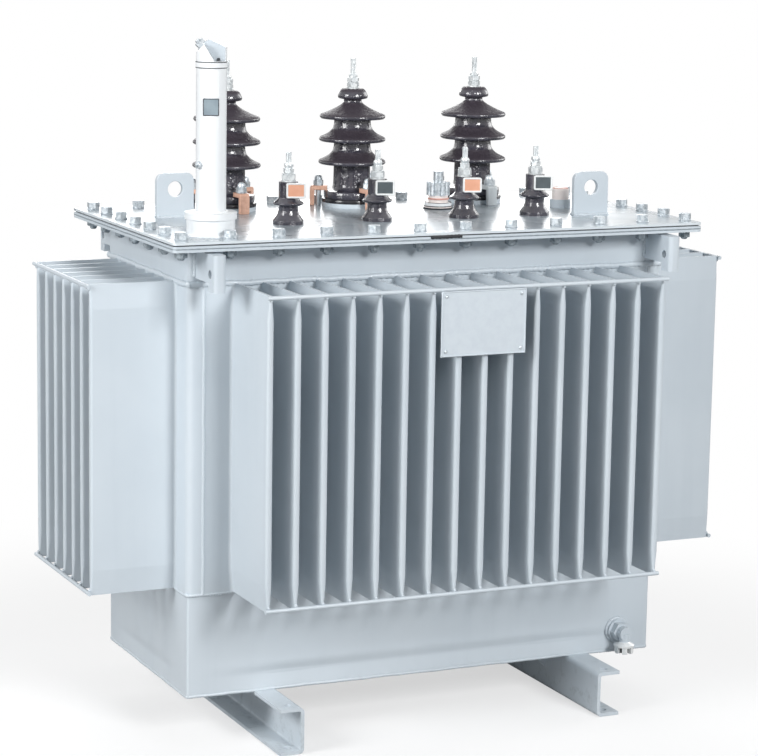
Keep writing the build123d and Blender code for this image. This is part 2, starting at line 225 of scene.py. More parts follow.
# bare and plated metal, mottled, with drawn lines and a few stains:
# colour, shade, stain, metallic share, roughness, scale of the mottle, stretch of the lines
metalKinds = {
    "tinnedBrass": ("#e4e8e9", "#c3c9cc", "#cbc6bb", 0.4, 0.26, 140, (1, 1, 9)),
    "brightNickel": ("#f2f4f4", "#e0e4e5", "#cfcdc6", 0.3, 0.22, 75, (1, 1, 4)),
    "zincSteel": ("#d3d9dd", "#a0aab1", "#bdbab0", 0.5, 0.32, 190, (1, 1, 1)),
    # a darker copy of the zinc for the nuts under the flange: painted shade
    "dullZinc": ("#a3adb4", "#737d84", "#8a867c", 0.4, 0.42, 190, (1, 1, 1)),
    "castBrass": ("#e4b7a0", "#d2a38c", "#b8aca6", 0.08, 0.42, 120, (1, 1, 1)),
    "plateAluminium": ("#c9d2d9", "#c4cdd5", "#c2c8cc", 0.2, 0.36, 75, (0.05, 1, 8)),
}
# the clamps at the right end are plain zinc
dulledEnd = {"finish": "castBrass", "colour": "#ccd2d5", "start": 0.236, "fade": 0.002}


def bareMetal(name):
    main, shade, stainColour, metal, rough, scale, stretch = metalKinds[name]
    finish, shader, root = startFinish(name, {})
    place = objectPlace(root)
    mottle = place.noise(scale, 4.0, 0.6).between(0.34, 0.70)
    lines = place.stretched(stretch).noise(900.0, 3.0, 0.6)
    stain = place.noise(210.0, 5.0, 0.7).between(0.60, 0.78)
    colour = mottle.blend(linear(main), linear(shade))
    if name == dulledEnd["finish"]:
        start = dulledEnd["start"]
        rightEnd = axisPart(root, place, "X").between(start, start + dulledEnd["fade"])
        colour = rightEnd.blend(colour, linear(dulledEnd["colour"]))
    stained = (stain * 0.5).blend(colour, linear(stainColour))
    feed(root, shader, {"Base Color": stained, "Metallic": metal - stain * 0.3,
                        "Roughness": rough + lines * 0.12 + stain * 0.2,
                        "Normal": (lines * 0.7 + mottle * 0.3).bump(0.12, 0.0004)})
    return finish


# plastic, rubber and glass, with fine grain and rubbed marks: colour, shade, roughness
mouldedKinds = {
    "orangeTag": ("#e0a78b", "#d99d80", 0.42),
    "greyTag": ("#4f585c", "#444c50", 0.42),
    "tagRim": ("#eef0f0", "#e4e7e7", 0.35),
    "creamPlastic": ("#f0e8e5", "#e3d8d3", 0.3),
    "pinkSeal": ("#d9a79b", "#c68f83", 0.4),
    "greyRubber": ("#4a4f54", "#3a3e43", 0.62),
    "blackRubber": ("#26292c", "#1b1d20", 0.6),
    "oiledRubber": ("#2e2d32", "#222226", 0.16),
    "paleRubber": ("#8b959c", "#7d878e", 0.5),
    "gaugeGlass": ("#93a1a9", "#84919a", 0.08),
}


def moulded(name):
    main, shade, rough = mouldedKinds[name]
    finish, shader, root = startFinish(name, {"IOR": 1.48})
    place = objectPlace(root)
    drift = place.noise(55.0, 3.0, 0.55).between(0.3, 0.7)
    grain = place.noise(1500.0, 2.0, 0.5)
    marks = place.stretched((3.0, 3.0, 0.6)).noise(160.0, 3.0, 0.6).between(0.62, 0.74)
    colour = (drift * 0.8 + marks * 0.2).blend(linear(main), linear(shade))
    feed(root, shader, {"Base Color": colour, "Roughness": rough + grain * 0.05 + marks * 0.12,
                        "Normal": (grain * 0.6 + marks * 0.4).bump(0.06, 0.0003)})
    return finish


finishes = {"brownGlaze": glaze("brownGlaze")}
for kinds, maker in ((enamelKinds, enamel), (metalKinds, bareMetal), (mouldedKinds, moulded)):
    for name in kinds:
        finishes[name] = maker(name)
print("finishes made:", len(finishes))

slotFinish = {
    "tank_paint": "tankEnamel", "white_paint": "whiteEnamel", "gasket_rubber": "greyRubber",
    "terminal_metal": "tinnedBrass", "clamp_steel": "zincSteel", "clamp_brass": "castBrass",
    "brown_glaze": "brownGlaze", "orange_tag": "orangeTag", "grey_tag": "greyTag",
    "white_plastic": "creamPlastic", "window_glass": "gaugeGlass", "plate_metal": "plateAluminium"
}
slotOf = {part["node"]: part["material_slot"] for part in frame["record"]["subparts"]}
for name, thing in nodes.items():
    thing.data.materials.clear()
    # the cover plate takes the darker copy of the paint, which is painted shade
    thing.data.materials.append(finishes["coverEnamel" if name == "tank_cover" else slotFinish[slotOf[name]]])

edgeSoft = {"width": 0.0012, "segments": 2, "angle": 35, "join": 0.00001}
softNodes = (
    "tank_collar", "tank_cover", "cover_lifting_lugs", "tank_lifting_lugs",
    "front_tank_wall", "back_tank_wall", "left_tank_wall", "right_tank_wall",
    "hv_clamp_dogs", "hv_base_rings", "filler_base", "filler_tube", "tap_changer_base",
    "relief_valve_body", "drain_valve", "nameplate_strips", "tap_changer_knob"
)
for name in softNodes:
    weld = nodes[name].modifiers.new("join", "WELD")
    weld.merge_threshold = edgeSoft["join"]
    bevel = nodes[name].modifiers.new("soft_edge", "BEVEL")
    bevel.width, bevel.segments = edgeSoft["width"], edgeSoft["segments"]
    bevel.limit_method, bevel.angle_limit = "ANGLE", radians(edgeSoft["angle"])
    even = nodes[name].modifiers.new("even_light", "WEIGHTED_NORMAL")
    even.keep_sharp = False
print("frame nodes painted")


def turns(count, start=0.0):
    return [start + 2 * pi * i / count for i in range(count)]


def ringAt(place, radius, height, count, turn=0.0):
    return [place @ Vector((radius * cos(a), radius * sin(a), height)) for a in turns(count, turn)]


def loft(mesh, rings, closed=False):
    rows = [[mesh.verts.new(point) for point in ring] for ring in rings]
    count = len(rows[0])
    pairs = list(zip(rows, rows[1:])) + ([(rows[-1], rows[0])] if closed else [])
    for low, high in pairs:
        for i in range(count):
            j = (i + 1) % count
            mesh.faces.new((low[i], low[j], high[j], high[i]))
    if not closed:
        mesh.faces.new(list(reversed(rows[0])))
        mesh.faces.new(rows[-1])


def lathe(mesh, profile, place, count=40):
    loft(mesh, [ringAt(place, r, h, count) for r, h in profile])


def hoop(mesh, radius, height, thick, place, count=56):
    # a round cord bent into a ring
    loft(mesh, [ringAt(place, radius + thick * cos(a), height + thick * sin(a), count)
                for a in turns(8)], True)


hexForm = {"points": 48, "cutFrom": 0.97, "cutSlope": 0.58, "faceShare": 0.95}


def hexPrism(mesh, across, low, high, place, turn=0.0, top=True, bottom=False):
    # six flats with the corners cut back by a cone, as on a real nut
    count = hexForm["points"]
    flat = across / 2
    radii = [flat / cos(a % (pi / 3) - pi / 6) for a in turns(count)]

    def hexRing(edge, drop):
        ring = []
        for r, a in zip(radii, turns(count, turn)):
            cut = max(0.0, r - flat * hexForm["cutFrom"]) * hexForm["cutSlope"] * drop
            ring.append(place @ Vector((r * cos(a), r * sin(a), edge - cut)))
        return ring

    rings = [hexRing(low, -1 if bottom else 0), hexRing(high, 1 if top else 0)]
    if bottom:
        rings.insert(0, ringAt(place, flat * hexForm["faceShare"], low, count, turn))
    if top:
        rings.append(ringAt(place, flat * hexForm["faceShare"], high, count, turn))
    loft(mesh, rings)


threadForm = {"pitch": 0.0016, "depth": 0.00055, "tip": 0.0012, "stepsPerTurn": 5, "points": 20}


def threaded(mesh, radius, low, high, place):
    pitch, count = threadForm["pitch"], threadForm["points"]
    steps = max(4, int((high - low) / pitch * threadForm["stepsPerTurn"]))
    rings = []
    for k in range(steps + 1):
        h = low + (high - low) * k / steps
        taper = 0.80 + 0.20 * min(1.0, (high - h) / threadForm["tip"])
        ring = []
        for i, a in enumerate(turns(count)):
            wave = abs(((h / pitch - i / count) % 1.0) - 0.5) * 2
            r = (radius - threadForm["depth"] * wave) * taper
            ring.append(place @ Vector((r * cos(a), r * sin(a), h)))
        rings.append(ring)
    loft(mesh, rings)


beadForm = {
    "points": 8, "swell": 0.9, "crest": 0.34, "swellChance": 0.10,
    "lean": 0.10, "slowLean": 37.0, "quickLean": 91.0, "leanChance": 0.08
}


def bead(mesh, points, radius, out, closed, ripple, seed, flat=0.75):
    # a run of weld: a low rounded ridge with the even ripple of a hand-laid bead
    chance = random.Random(seed)
    runs = list(zip(points, points[1:] + points[:1])) if closed else list(zip(points, points[1:]))
    rings, gone = [], 0.0
    count, swellChance, leanChance = beadForm["points"], beadForm["swellChance"], beadForm["leanChance"]
    for start, end in runs:
        span = (end - start).length
        steps = max(2, int(span / (ripple / 3)))
        along = (end - start).normalized()
        side = along.cross(out(start.lerp(end, 0.5))).normalized()
        for k in range(steps if (closed or end is not points[-1]) else steps + 1):
            point = start.lerp(end, k / steps)
            face = out(point)
            s = gone + span * k / steps
            crest = abs(sin(pi * s / ripple))
            swell = beadForm["swell"] + beadForm["crest"] * crest + chance.uniform(-swellChance, swellChance)
            wander = (beadForm["lean"] * sin(s * beadForm["slowLean"])
                      + beadForm["lean"] * sin(s * beadForm["quickLean"]))
            lean = radius * (wander + chance.uniform(-leanChance, leanChance))
            ring = []
            for a in turns(count):
                ring.append(point + side * (cos(a) * radius * swell + lean)
                            + face * (sin(a) * radius * swell * flat))
            rings.append(ring)
        gone += span
    loft(mesh, rings, closed)


def rounded(width, depth, corner, steps=6):
    outline = []
    for cx, cy, start in ((1, 1, 0), (-1, 1, 90), (-1, -1, 180), (1, -1, 270)):
        for k in range(steps + 1):
            a = radians(start + 90 * k / steps)
            outline.append((cx * (width / 2 - corner) + corner * cos(a),
                            cy * (depth / 2 - corner) + corner * sin(a)))
    return outline


def openFrame(mesh, width, height, border, low, high, corner, place):
    # four bars around an opening, with a softened front edge
    soft = min(border * 0.3, (high - low) * 0.5)

    def drawnIn(inset, smallest):
        return rounded(width - 2 * inset, height - 2 * inset, max(corner - inset, smallest))

    outer, inner = rounded(width, height, corner), drawnIn(border, 0.0006)
    brim, lip = drawnIn(soft, 0.0006), drawnIn(border - soft, 0.0008)
    levels = ((outer, low), (outer, high - soft), (brim, high),
              (lip, high), (inner, high - soft), (inner, low))
    loft(mesh, [[place @ Vector((x, y, z)) for x, y in outline] for outline, z in levels], True)


def piece(name, mesh, finish, slotName, *stands, angle=38):
    bmesh.ops.recalc_face_normals(mesh, faces=mesh.faces)
    data = bpy.data.meshes.new(name)
    mesh.to_mesh(data)
    mesh.free()
    data.shade_smooth()
    data.set_sharp_from_angle(angle=radians(angle))
    data.materials.append(finishes[finish])
    thing = bpy.data.objects.new(name, data)
    scene.collection.objects.link(thing)
    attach(thing, "root")
    if stands:
        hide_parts(*stands)


def standing(x, y, z):
    return Matrix.Translation((x, y, z))


def pointing(at, way):
    return Matrix.Translation(at) @ Vector(way).to_track_quat("Z", "Y").to_matrix().to_4x4()


def steady(x, y, z):
    # one outward direction all along a run
    return lambda point: Vector((x, y, z))


def sideOf(half, middle=Vector((0, 0, 0))):
    # outward direction of the side of a box that a point lies on
    def out(point):
        gone = point - middle
        if abs(gone.x) / half.x > abs(gone.y) / half.y:
            return Vector((copysign(1, gone.x), 0, 0))
        return Vector((0, copysign(1, gone.y), 0))
    return out


# cooling fins: folded sheet pockets, pinched shut at both ends
finForm = {
    "longCount": 16, "shortCount": 7, "thick": 0.012, "pinched": 0.0042, "pinchHeight": 0.042,
    "edge": 0.0048, "rootRound": 0.005, "bow": 0.0006, "endSoft": 0.0012, "pinchSoft": 0.002
}


def finRow(name, node, count, along, outward, seat, tip):
    # along: unit direction of the row, outward: from the wall to the fin tips
    low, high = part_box(node)
    span = abs((high - low).dot(along))
    middle = (low + high) / 2
    mesh = bmesh.new()
    pitch = (span - finForm["thick"]) / (count - 1)
    pinch, soft, tall = finForm["pinchHeight"], finForm["pinchSoft"], high.z - low.z
    steps = [0.0, finForm["endSoft"], pinch * 0.4, pinch - soft, pinch, pinch + soft, tall * 0.3]
    levels = [low.z + s for s in steps] + [(low.z + high.z) / 2] + [high.z - s for s in reversed(steps)]
    chance = random.Random(len(name))
    for f in range(count):
        where = middle.dot(along) + (f - (count - 1) / 2) * pitch
        bow = chance.uniform(-finForm["bow"], finForm["bow"])
        rings = []
        for z in levels:
            near = min(z - low.z, high.z - z)
            share = min(1.0, near / pinch)
            half = (finForm["pinched"] + (finForm["thick"] - finForm["pinched"]) * share) / 2
            sway = bow * sin(pi * (z - low.z) / tall)
            flare, edge = finForm["rootRound"], min(finForm["edge"], half * 0.96)
            side = []
            for k in range(5):
                a = pi / 2 * k / 4
                side.append((half + flare * (1 - sin(a)), seat + flare * (1 - cos(a))))
            side.append((half, seat + (tip - seat) * 0.5))
            for k in range(7):
                a = pi / 2 * k / 6
                side.append((half - edge + edge * cos(a), tip - edge + edge * sin(a)))
            outline = side + [(-u, v) for u, v in reversed(side)]
            rings.append([along * (where + u + sway) + outward * v + Vector((0, 0, z)) for u, v in outline])
        loft(mesh, rings)
    piece(name, mesh, "tankEnamel", "tank_paint", node, angle=50)


frontLow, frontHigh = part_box("front_cooling_fins")
endLow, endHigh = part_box("right_cooling_fins")
across, forward = Vector((1, 0, 0)), Vector((0, 1, 0))
longCount, longSeat, longTip = finForm["longCount"], -frontHigh.y, -frontLow.y
shortCount, shortSeat, shortTip = finForm["shortCount"], endLow.x, endHigh.x
finRow("front_fin_row", "front_cooling_fins", longCount, across, -forward, longSeat, longTip)
finRow("back_fin_row", "back_cooling_fins", longCount, across, forward, longSeat, longTip)
finRow("right_fin_row", "right_cooling_fins", shortCount, forward, across, shortSeat, shortTip)
finRow("left_fin_row", "left_cooling_fins", shortCount, forward, -across, shortSeat, shortTip)
print("fins folded")

# lower tank: plate with a shallow pressed line above the floor seam
lowerForm = {
    "crease": 0.109, "creaseDepth": 0.0042, "above": 0.011, "below": 0.027, "wave": 0.0006,
    "corner": 0.004, "plate": 0.004, "footShare": 0.999, "spacing": 0.022, "footSoft": 0.0008,
    "firstRing": 0.006, "lastRing": 0.004, "fineStep": 0.003, "coarseStep": 0.010,
    "fineReach": 0.030, "sideClose": 0.003, "endClear": 0.02, "longEnd": 0.14, "shortEnd": 0.10,
    "shortShare": 0.5
}


def lowerTank():
    form = lowerForm
    low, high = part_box("lower_tank_wall")
    size = high - low
    mesh = bmesh.new()
    outline = [Vector((x, y, 0)) for x, y in rounded(size.x, size.y, form["corner"])]
    dense = []
    for start, end in zip(outline, outline[1:] + outline[:1]):
        steps = max(1, int((end - start).length / form["spacing"]))
        dense += [start.lerp(end, k / steps) for k in range(steps)]
    heights = [low.z + form["footSoft"]]
    z = low.z + form["firstRing"]
    while z < high.z - form["lastRing"]:
        heights.append(z)
        fine = abs(z - form["crease"]) < form["fineReach"]
        z += form["fineStep"] if fine else form["coarseStep"]
    heights.append(high.z)

    def pushed(point, z):
        longSide = abs(point.y) > size.y / 2 - form["sideClose"]
        clear = form["endClear"]
        edge = size.x / 2 - clear - abs(point.x) if longSide else size.y / 2 - clear - abs(point.y)
        share = min(1.0, max(0.0, edge / form["longEnd" if longSide else "shortEnd"]))
        ends = share * share * (3 - 2 * share)
        gone = z - form["crease"]
        if gone > 0:
            rise = exp(-(gone / form["above"]) ** 2)
        else:
            rise = max(0.0, 1 + gone / form["below"])
        dent = form["creaseDepth"] * rise
        belly = form["wave"] * sin(point.x * 9.0 + point.y * 7.0) * sin((z - low.z) * 17.0)
        inward = (dent * (1.0 if longSide else form["shortShare"]) + belly) * ends
        if longSide:
            way = Vector((0, copysign(1, point.y), 0))
        else:
            way = Vector((copysign(1, point.x), 0, 0))
        return point - way * inward + Vector((0, 0, z))

    inset, foot = 2 * form["plate"], form["footShare"]
    inside = [Vector((p.x * (1 - inset / size.x), p.y * (1 - inset / size.y), 0)) for p in dense]
    rings = [[Vector((p.x * foot, p.y * foot, low.z)) for p in dense]]
    rings += [[pushed(p, z) for p in dense] for z in heights]
    rings += [[p + Vector((0, 0, z)) for p in inside] for z in (high.z, low.z)]
    loft(mesh, rings, True)
    piece("lower_tank_skin", mesh, "tankEnamel", "tank_paint", "lower_tank_wall")


lowerTank()
print("lower tank pressed")

# cover bolts: heads and washers above, nuts and bolt ends below the flange
boltRow = {
    "inset": 0.0355, "leftInset": 0.026, "rightInset": 0.015, "longCount": 12, "shortCount": 7,
    "head": 0.019, "headHeight": 0.0105, "washer": 0.011, "washerThick": 0.0025,
    "nutHeight": 0.010, "shank": 0.006, "proud": 0.004, "proudChance": (-0.001, 0.002),
    "tipRadius": 0.0040, "tipEdge": 0.0056, "shift": 0.001, "turn": 1.05
}


def coverBolts():
    form = boltRow
    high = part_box("tank_cover")[1]
    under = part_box("tank_flange")[0].z
    spots = []
    leftEnd, rightEnd = form["leftInset"] - high.x, high.x - form["rightInset"]
    yEdge = high.y - form["inset"]
    for i in range(form["longCount"]):
        x = leftEnd + (rightEnd - leftEnd) * i / (form["longCount"] - 1)
        spots += [(x, -yEdge), (x, yEdge)]
    for i in range(1, form["shortCount"] - 1):
        y = -yEdge + 2 * yEdge * i / (form["shortCount"] - 1)
        spots += [(leftEnd, y), (rightEnd, y)]
    chance = random.Random(11)
    heads, nuts = bmesh.new(), bmesh.new()
    t, w, shank = form["washerThick"], form["washer"], form["shank"]
    washer = [(w * 0.96, 0.0), (w, 0.0004), (w, t - 0.0005), (w * 0.95, t)]
    end = -t - form["nutHeight"]
    shift, turn = form["shift"], form["turn"]
    for x, y in spots:
        x, y = x + chance.uniform(-shift, shift), y + chance.uniform(-shift, shift)
        above, below = standing(x, y, high.z), standing(x, y, under)
        lathe(heads, washer, above, 32)
        hexPrism(heads, form["head"], t, t + form["headHeight"], above, chance.uniform(0, turn))
        lathe(nuts, [(r, -h) for r, h in reversed(washer)], below, 32)
        hexPrism(nuts, form["head"], end, -t, below, chance.uniform(0, turn), False, True)
        tip = end - form["proud"] - chance.uniform(*form["proudChance"])
        lathe(nuts, [(form["tipRadius"], tip), (form["tipEdge"], tip + 0.0014),
                     (shank, tip + 0.003), (shank, end + 0.001)], below, 24)
    piece("cover_bolt_heads", heads, "zincSteel", "clamp_steel", angle=25)
    # the nuts under the flange take the darker zinc, which is painted shade
    piece("cover_bolt_nuts", nuts, "dullZinc", "clamp_steel", angle=25)


coverBolts()
print("cover bolted")

# weld: radius and ripple of each run
weldForm = {
    "collarFoot": (0.0045, 0.0094), "collarTop": (0.0028, 0.0045), "lowerTop": (0.0026, 0.0048),
    "floorSeam": (0.0024, 0.0046), "cornerSeam": (0.0026, 0.0070), "lug": (0.0034, 0.0058),
    "foot": (0.0030, 0.0055), "drain": (0.0030, 0.0052)
}
corners = ((-1, -1), (-1, 1), (1, -1), (1, 1))
collarLow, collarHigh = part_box("tank_collar")
lowerLow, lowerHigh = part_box("lower_tank_wall")


def tankWelds():
    mesh = bmesh.new()

    def around(half, out, z, kind, seed):
        radius, ripple = weldForm[kind]
        outline = rounded(2 * (half.x + out), 2 * (half.y + out), lowerForm["corner"], 4)
        bead(mesh, [Vector((x, y, z)) for x, y in outline], radius, sideOf(collarHigh), True, ripple, seed)

    around(collarHigh, 0.0004, collarLow.z, "collarFoot", 3)
    around(collarHigh, 0.0004, collarHigh.z - 0.0015, "collarTop", 4)
    around(lowerHigh, 0.0012, lowerHigh.z + 0.0005, "lowerTop", 5)
    around(lowerHigh, -0.0006, lowerLow.z + 0.0012, "floorSeam", 6)
    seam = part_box("front_tank_wall")[1].x
    radius, ripple = weldForm["cornerSeam"]
    for sx, sy in corners:
        line = [Vector((sx * seam, sy * collarHigh.y, z)) for z in (collarLow.z, lowerHigh.z)]
        bead(mesh, line, radius, steady(0, sy, 0), False, ripple, 20 + sx + 3 * sy, 0.55)
    piece("tank_weld_runs", mesh, "tankEnamel", "tank_paint", angle=60)


# runs on the lifting lugs, channels and drain: where each starts, ends and lies
fittingWeld = {
    "lugWide": 0.022, "lugFoot": 0.016, "lugHead": 0.006, "lugGap": 0.0006,
    "plateHalf": 0.034, "plateThick": 0.010, "plateGap": 0.0005, "plateRise": 0.0006,
    "footIn": 0.001, "footEnd": 0.004,
    "drainDrop": 0.020, "drainRadius": 0.0205, "drainProud": 0.0006, "drainPoints": 40
}


def fittingWelds():
    form = fittingWeld
    mesh = bmesh.new()
    radius, ripple = weldForm["lug"]
    low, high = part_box("tank_lifting_lugs")
    wide = form["lugWide"]
    for sx, sy in corners:
        for edge in (-1, 1):
            x = sx * (high.x - wide / 2) + edge * (wide / 2 + form["lugGap"])
            line = [Vector((x, sy * collarHigh.y, z))
                    for z in (low.z + form["lugFoot"], high.z - form["lugHead"])]
            bead(mesh, line, radius, steady(0, sy, 0), False, ripple, 31 + sx + 2 * edge, 0.8)
    low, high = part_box("cover_lifting_lugs")
    half, thick = form["plateHalf"], form["plateThick"]
    for x, y in ((low.x + half, high.y - thick / 2), (high.x - half, low.y + thick / 2)):
        for edge in (-1, 1):
            lineY = y + edge * (thick / 2 + form["plateGap"])
            line = [Vector((x + end * half, lineY, low.z + form["plateRise"])) for end in (-1, 1)]
            bead(mesh, line, radius, steady(0, 0, 1), False, ripple, 41 + edge, 0.75)
    radius, ripple = weldForm["foot"]
    inside, clear = form["footIn"], form["footEnd"]
    for node in ("left_base_channel", "right_base_channel"):
        low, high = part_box(node)
        for x in (low.x + inside, high.x - inside):
            line = [Vector((x, y, high.z)) for y in (lowerLow.y + clear, lowerHigh.y - clear)]
            bead(mesh, line, radius, steady(0, 0, 1), False, ripple, 51, 0.8)
    low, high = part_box("drain_valve")
    x, z = (low.x + high.x) / 2, high.z - form["drainDrop"]
    reach, count = form["drainRadius"], form["drainPoints"]
    loop = [Vector((x + reach * cos(a), lowerLow.y - form["drainProud"], z + reach * sin(a)))
            for a in turns(count)]
    radius, ripple = weldForm["drain"]
    bead(mesh, loop, radius, steady(0, -1, 0), True, ripple, 61)
    piece("fitting_weld_runs", mesh, "tankEnamel", "tank_paint", angle=60)


# dabs of weld that hold the tie rods to the fins
dabForm = {"proud": 0.0010, "up": 0.0082, "smallest": 0.0024, "largest": 0.0032}


def rodDabs():
    mesh = bmesh.new()
    rodLow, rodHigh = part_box("fin_tie_rods")
    chance = random.Random(8)
    thick = finForm["thick"]
    longSpan, shortSpan = frontHigh.x - frontLow.x, endHigh.y - endLow.y
    for count, span, along, outward, tip in ((longCount, longSpan, across, forward, longTip),
                                             (shortCount, shortSpan, forward, across, shortTip)):
        for side in (-1, 1):
            for z, up in ((rodLow.z, 1), (rodHigh.z, -1)):
                for f in range(count):
                    where = -span / 2 + thick / 2 + (span - thick) / (count - 1) * f
                    at = (along * where + outward * side * (tip + dabForm["proud"])
                          + Vector((0, 0, z + up * dabForm["up"])))
                    r = chance.uniform(dabForm["smallest"], dabForm["largest"])
                    lathe(mesh, [(r, -0.0014), (r * 1.05, 0.0), (r * 0.8, 0.0012), (r * 0.35, 0.0020)],
                          pointing(at, outward * side), 10)
    piece("rod_weld_dabs", mesh, "tankEnamel", "tank_paint", angle=80)


tankWelds()
fittingWelds()
rodDabs()
print("welds laid")

hvPlaces = [middleOf("hv_porcelain_%d" % i) for i in (1, 2, 3)]
lvPlaces = [middleOf("lv_porcelain_%d" % i) for i in (1, 2, 3, 4)]
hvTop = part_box("hv_porcelain_1")[1].z
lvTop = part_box("lv_porcelain_1")[1].z
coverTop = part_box("tank_cover")[1].z

# studs, washers and nuts on the bushings: widths across flats, heights above the porcelain, lathe profiles
hvStack = {
    "seat": 0.0110, "seatSide": 0.0024, "seatTop": 0.0030, "nut": 0.019, "nutTop": 0.0108,
    "washer": ((0.0098, 0.0108), (0.0102, 0.0112), (0.0102, 0.0122), (0.0096, 0.0126)),
    "upperNut": 0.019, "upperLow": 0.0126, "upperTop": 0.0204,
    "cap": ((0.0074, 0.0204), (0.0078, 0.021), (0.0078, 0.024), (0.0066, 0.026)),
    "stud": 0.005, "studLow": 0.018, "reach": 0.055
}
lvStack = {
    "seat": 0.0124, "seatSide": 0.0022, "seatTop": 0.0028, "nut": 0.022, "nutTop": 0.0126,
    "washer": ((0.0108, 0.0126), (0.0112, 0.013), (0.0112, 0.0146), (0.0106, 0.015)),
    "upperNut": 0.016, "upperLow": 0.0150, "upperTop": 0.0232,
    "cap": ((0.0066, 0.0232), (0.0078, 0.0262), (0.0080, 0.029), (0.0066, 0.0325)),
    "stud": 0.0050, "studLow": 0.020, "reach": 0.051
}


def studStack(form, spots, top, chance):
    mesh = bmesh.new()
    seat = form["seat"]
    for spot in spots:
        place = standing(spot.x, spot.y, top)
        lathe(mesh, [(seat, 0), (seat, form["seatSide"]), (seat * 0.95, form["seatTop"])], place, 32)
        hexPrism(mesh, form["nut"], form["seatTop"], form["nutTop"], place, chance.uniform(0, 1), True, True)
        lathe(mesh, form["washer"], place, 32)
        hexPrism(mesh, form["upperNut"], form["upperLow"], form["upperTop"], place,
                 chance.uniform(0, 1), True, True)
        lathe(mesh, form["cap"], place, 28)
        threaded(mesh, form["stud"], form["studLow"], form["reach"], place)
    return mesh


# nuts on the clamp dogs of the high voltage bushings
dogForm = {
    "turns": (-85, 35, 155), "reach": 0.060, "nut": 0.016, "nutLow": 0.002, "nutTop": 0.0102,
    "washer": ((0.0085, 0), (0.0088, 0.0004), (0.0088, 0.0016), (0.0083, 0.002)),
    "dome": ((0.0072, 0.0102), (0.0072, 0.0125), (0.0064, 0.0158), (0.0046, 0.0182), (0.0018, 0.0194)),
    "stud": 0.0048, "studTop": 0.001
}


def terminals():
    chance = random.Random(5)
    hv = studStack(hvStack, hvPlaces, hvTop, chance)
    lv = studStack(lvStack, lvPlaces, lvTop, chance)
    piece("hv_stud_and_nuts", hv, "tinnedBrass", "terminal_metal", "hv_terminals", angle=28)
    piece("lv_stud_and_nuts", lv, "tinnedBrass", "terminal_metal", "lv_terminals", angle=28)

    dogs = bmesh.new()
    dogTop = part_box("hv_clamp_dogs")[1].z
    reach, stud = dogForm["reach"], dogForm["stud"]
    for spot in hvPlaces:
        for turn in dogForm["turns"]:
            a = radians(turn)
            place = standing(spot.x + reach * cos(a), spot.y + reach * sin(a), dogTop)
            lathe(dogs, dogForm["washer"], place, 28)
            hexPrism(dogs, dogForm["nut"], dogForm["nutLow"], dogForm["nutTop"], place, chance.uniform(0, 1))
            lathe(dogs, dogForm["dome"], place, 28)
            lathe(dogs, [(stud, coverTop - dogTop), (stud, dogForm["studTop"])], place, 20)
    piece("hv_clamp_nuts", dogs, "zincSteel", "clamp_steel", angle=28)


terminals()
print("terminals and clamps fitted")

# high voltage porcelain: thick drip rims on the sheds, a short neck and a capped head
shedForm = {
    "rims": ((0.0605, 0.0805), (0.0598, 0.1215), (0.0590, 0.1625)),
    "trunk": 0.0328, "slopeReach": 0.0277,
    "foot": ((0.0486, 0.0140), (0.0500, 0.0154), (0.0500, 0.0266), (0.0486, 0.0280),
             (0.0420, 0.0284), (0.0375, 0.0305), (0.0345, 0.0345), (0.0332, 0.0400)),
    "under": ((0.0, -0.0085), (0.003, -0.0074), (0.0150, -0.0052), (0.0215, -0.0046),
              (0.0245, -0.0046)),
    "lip": ((0.0022, -0.0044), (0.0006, -0.0030), (0.0, -0.0010), (0.0005, 0.0010),
            (0.0020, 0.0026)),
    "upper": ((0.0245, 0.0034), (0.0205, 0.0052), (0.0150, 0.0078), (0.0095, 0.0112),
              (0.0048, 0.0156), (0.0018, 0.0206), (0.0004, 0.0260)),
    "head": ((0.0500, 0.0052), (0.0430, 0.0082), (0.0350, 0.0120), (0.0270, 0.0163),
             (0.0205, 0.0205), (0.0165, 0.0245), (0.0158, 0.0275), (0.0165, 0.0295),
             (0.0250, 0.0312), (0.0266, 0.0330), (0.0268, 0.0362), (0.0250, 0.0412),
             (0.0222, 0.0456), (0.0195, 0.0482), (0.0150, 0.0485))
}


def porcelain():
    trunk = shedForm["trunk"]
    topRim = shedForm["rims"][-1][1]
    profile = list(shedForm["foot"])
    for rim, h in shedForm["rims"]:
        profile += [(trunk + r, h + z) for r, z in shedForm["under"]]
        profile += [(rim - r, h + z) for r, z in shedForm["lip"]]
        if h < topRim:
            reach = shedForm["slopeReach"]
            profile += [(trunk + r * (rim - trunk) / reach, h + z) for r, z in shedForm["upper"]]
    profile += [(r, topRim + z) for r, z in shedForm["head"]]
    for i, spot in enumerate(hvPlaces, 1):
        mesh = bmesh.new()
        lathe(mesh, profile, standing(spot.x, spot.y, coverTop), 72)
        piece("hv_glazed_%d" % i, mesh, "brownGlaze", "brown_glaze", "hv_porcelain_%d" % i, angle=60)


porcelain()
print("porcelain turned")

# phase tags: a coloured plate in a pale rim, bare
tagForm = {
    "width": 0.032, "height": 0.025, "low": 0.046, "turn": -18, "shift": 0.0115, "face": 0.0185,
    "rim": 0.0033, "rimOver": 0.0012, "rimBack": -0.0024, "rimFront": 0.0012, "corner": 0.0036
}


def tags():
    form = tagForm
    rims = bmesh.new()
    turn = Matrix.Rotation(radians(form["turn"]), 4, "Z")
    lean = Matrix.Rotation(radians(90), 4, "X")
    width, height = form["width"] + form["rimOver"], form["height"] + form["rimOver"]
    for spot in lvPlaces:
        centre = Matrix.Translation((form["shift"], -form["face"], form["low"] + form["height"] / 2))
        face = standing(spot.x, spot.y, coverTop) @ turn @ centre @ lean
        openFrame(rims, width, height, form["rim"], form["rimBack"], form["rimFront"], form["corner"], face)
    piece("tag_rims", rims, "tagRim", "white_plastic", angle=40)


tags()

